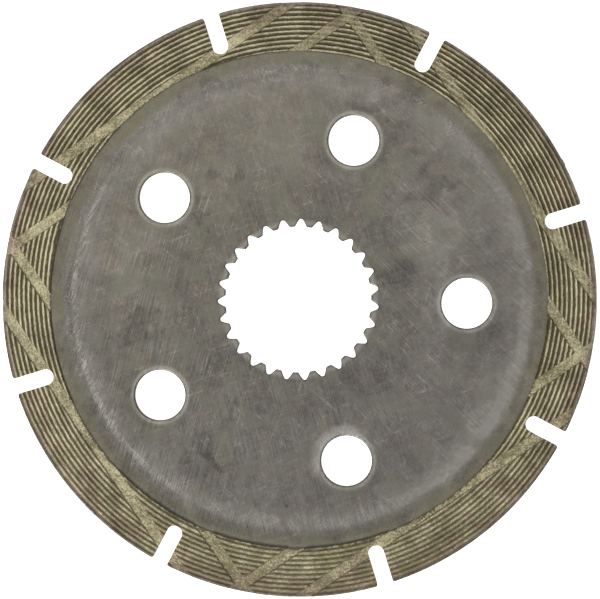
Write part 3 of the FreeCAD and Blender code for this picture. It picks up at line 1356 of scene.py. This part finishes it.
    def place(
        self, points: np.ndarray, polygons: list[list[int]], relief: Mapping[str, np.ndarray]
    ) -> bpy.types.Object:
        """Makes the object on its side of the disc and dresses it.

        Args:
            points: places in millimetres, for the front.
            polygons: the corners of each face.
            relief: values for the finish, by name, for the first places.

        Returns:
            The finished piece.
        """
        points = points * (MM, MM, MM * self.side.value)
        if self.side is Side.REAR:
            polygons = [polygon[::-1] for polygon in polygons]
        mesh = bpy.data.meshes.new(f"{self.side.name.lower()}_lining")
        mesh.from_pydata(points.tolist(), [], polygons)
        for name, values in relief.items():
            stored = mesh.attributes.new(name, "FLOAT", "POINT")
            stored.data.foreach_set("value", np.pad(values, (0, len(points) - len(values))))
        mesh.shade_smooth()
        mesh.set_sharp_from_angle(angle=math.radians(self.sharp_angle))
        piece = bpy.data.objects.new(mesh.name, mesh)
        bpy.context.scene.collection.objects.link(piece)
        mesh.materials.append(self.finish)
        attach(piece, "root")
        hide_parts(self.node)
        return piece


@dataclass
class SteelPlate:
    """The splined steel plate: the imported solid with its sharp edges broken."""

    finish: bpy.types.Material
    node: str = "core_plate"
    edge_break: float = 0.30
    bore_break: float = 0.48
    bore_reach: float = 32.0
    face: float = 1.4
    join_within: float = 1e-6
    flat_within: float = 1.0
    sharp_angle: float = 35.0

    def build(self) -> bpy.types.Object:
        """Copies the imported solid, joins its loose triangles and rounds its edges.

        Returns:
            The new piece.
        """
        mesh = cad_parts[self.node].data.copy()
        mesh.name = "splined_plate"
        work = bmesh.new()
        work.from_mesh(mesh)
        bmesh.ops.remove_doubles(work, verts=work.verts, dist=self.join_within)
        level = math.radians(self.flat_within)
        bmesh.ops.dissolve_limit(work, angle_limit=level, verts=work.verts, edges=work.edges)
        work.to_mesh(mesh)
        work.free()
        self.weigh(mesh)
        mesh.materials.clear()
        mesh.materials.append(self.finish)
        mesh.shade_smooth()
        mesh.set_sharp_from_angle(angle=math.radians(self.sharp_angle))
        piece = bpy.data.objects.new(mesh.name, mesh)
        bpy.context.scene.collection.objects.link(piece)
        bevel = piece.modifiers.new("edge_break", "BEVEL")
        bevel.width = self.bore_break * MM
        bevel.segments = 2
        bevel.limit_method = "WEIGHT"
        bevel.use_clamp_overlap = False
        bevel.harden_normals = True
        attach(piece, "root")
        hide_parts(self.node)
        return piece

    def weigh(self, mesh: bpy.types.Mesh) -> None:
        """Stores how wide each edge is to be broken, as a share of the break round the bore.

        In words: an edge is broken if both its ends are at the height of a face and one of the
        faces that it joins isn't level. Those round the bore take the whole width.

        Args:
            mesh: the plate's mesh.
        """
        places = self.column(mesh.vertices, "co", 3) / MM
        ends = self.column(mesh.edges, "vertices", 2, np.int32)
        level = (np.abs(np.abs(places[ends, 2]) - self.face) < 0.01).all(axis=1)
        bore = (np.hypot(places[ends, 0], places[ends, 1]) < self.bore_reach).all(axis=1)
        lying = np.abs(self.column(mesh.polygons, "normal", 3)[:, 2])
        lying = np.repeat(lying, self.column(mesh.polygons, "loop_total", 1, np.int32).ravel())
        least = np.ones(len(mesh.edges))
        np.minimum.at(least, self.column(mesh.loops, "edge_index", 1, np.int32).ravel(), lying)
        weight = np.where(bore, 1.0, self.edge_break / self.bore_break) * (level & (least < 0.9))
        stored = mesh.attributes.new("bevel_weight_edge", "FLOAT", "EDGE")
        stored.data.foreach_set("value", weight)

    @staticmethod
    def column(
        source: "bpy.types.bpy_prop_collection", name: str, width: int, kind: type = np.float32
    ) -> np.ndarray:
        """One property of all of a mesh's elements, as an array with a row for each."""
        values = np.empty(len(source) * width, dtype=kind)
        source.foreach_get(name, values)
        return values.reshape(-1, width)


@dataclass(frozen=True)
class Lamp:
    """One soft square lamp that faces the disc.

    The azimuth is in degrees from the picture's right, the height in degrees above the floor, the
    reach and the size in millimetres, and the power in watts.
    """

    name: str
    azimuth: float
    height: float
    reach: float
    size: float
    power: float

    def build(self, picture_turn: float) -> bpy.types.Object:
        """Adds the lamp.

        Args:
            picture_turn: degrees from +X to the picture's right.

        Returns:
            The lamp.
        """
        turn = math.radians(self.azimuth + picture_turn)
        rise = math.radians(self.height)
        away = Vector((math.cos(turn) * math.cos(rise), math.sin(turn) * math.cos(rise), math.sin(rise)))
        data = bpy.data.lights.new(self.name, "AREA")
        data.shape = "SQUARE"
        data.size = self.size * MM
        data.energy = self.power
        made = bpy.data.objects.new(self.name, data)
        bpy.context.scene.collection.objects.link(made)
        facing = away.to_track_quat("Z", "Y").to_matrix().to_4x4()
        made.matrix_world = Matrix.Translation(away * self.reach * MM) @ facing
        return made


@dataclass
class Studio:
    """The pale floor, the soft lights and the camera that looks down at the disc."""

    floor_height: float = -2.4
    floor_size: float = 3000.0
    camera_reach: float = 754.0
    camera_tilt: float = 2.07
    picture_turn: float = 1.3
    picture_width: float = 226.0
    picture_plane: float = 1.9
    picture_shift: tuple[float, float] = (0.66, 0.0)
    sky: float = 0.20
    sensor_width: float = 36.0
    lamps: tuple[Lamp, ...] = (
        Lamp("key", 246.0, 42.0, 3000.0, 1100.0, 65.0),
        Lamp("top", 115.0, 68.0, 1500.0, 900.0, 5.0),
    )

    def axes(self) -> tuple[Vector, Vector]:
        """The picture's right and up, in the disc's frame."""
        turn = math.radians(self.picture_turn)
        return Vector((math.cos(turn), math.sin(turn), 0)), Vector((-math.sin(turn), math.cos(turn), 0))

    def camera(self) -> bpy.types.Object:
        """Sets up the camera.

        In words: it looks at the disc along a line that leans from the axis towards the
        picture's right, and stands aside by the offset of the disc in the picture.

        Returns:
            The camera.
        """
        right, up = self.axes()
        lean = math.radians(self.camera_tilt)
        back = right * math.sin(lean) + Vector((0, 0, 1)) * math.cos(lean)
        across = up.cross(back)
        aside = right * self.picture_shift[0] + up * self.picture_shift[1]
        data = bpy.data.cameras.new("camera")
        data.sensor_width = self.sensor_width
        data.lens = self.sensor_width * (self.camera_reach - self.picture_plane) / self.picture_width
        data.clip_start, data.clip_end = 0.01, 20.0
        eye = bpy.data.objects.new("camera", data)
        bpy.context.scene.collection.objects.link(eye)
        turned = Matrix((across, up, back)).transposed().to_4x4()
        eye.matrix_world = Matrix.Translation((back * self.camera_reach + aside) * MM) @ turned
        bpy.context.scene.camera = eye
        return eye

    def build(self, paper: bpy.types.Material) -> None:
        """Sets the floor, the sky, the lamps, the camera and the plain display of colours."""
        half = self.floor_size / 2 * MM
        low = self.floor_height * MM
        mesh = bpy.data.meshes.new("floor")
        corners = [(-half, -half, low), (half, -half, low), (half, half, low), (-half, half, low)]
        mesh.from_pydata(corners, [], [(0, 1, 2, 3)])
        mesh.materials.append(paper)
        floor = bpy.data.objects.new("floor", mesh)
        bpy.context.scene.collection.objects.link(floor)
        world = bpy.data.worlds.new("sky")
        world.use_nodes = True
        world.node_tree.nodes["Background"].inputs["Color"].default_value = (1.0, 1.0, 1.0, 1.0)
        world.node_tree.nodes["Background"].inputs["Strength"].default_value = self.sky
        bpy.context.scene.world = world
        for lamp in self.lamps:
            lamp.build(self.picture_turn)
        self.camera()
        bpy.context.scene.view_settings.view_transform = "Standard"


def main() -> None:
    """Builds the pieces in order."""
    logging.basicConfig(level=logging.INFO, format="%(message)s")
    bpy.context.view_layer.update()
    steel = WornSteel().make()
    bronze = SinteredBronze().make()
    pieces = [
        SteelPlate(steel).build(),
        Lining(Side.FRONT, "front_facing", bronze).build(),
        Lining(Side.REAR, "rear_facing", bronze, seed=12, groove=TurnedGroove(off_x=-0.754, hand=-1)).build(),
    ]
    Studio().build(PalePaper().make())
    for piece in pieces:
        LOG.info("%s: %d faces", piece.name, len(piece.data.polygons))


if __name__ == "__main__":
    main()
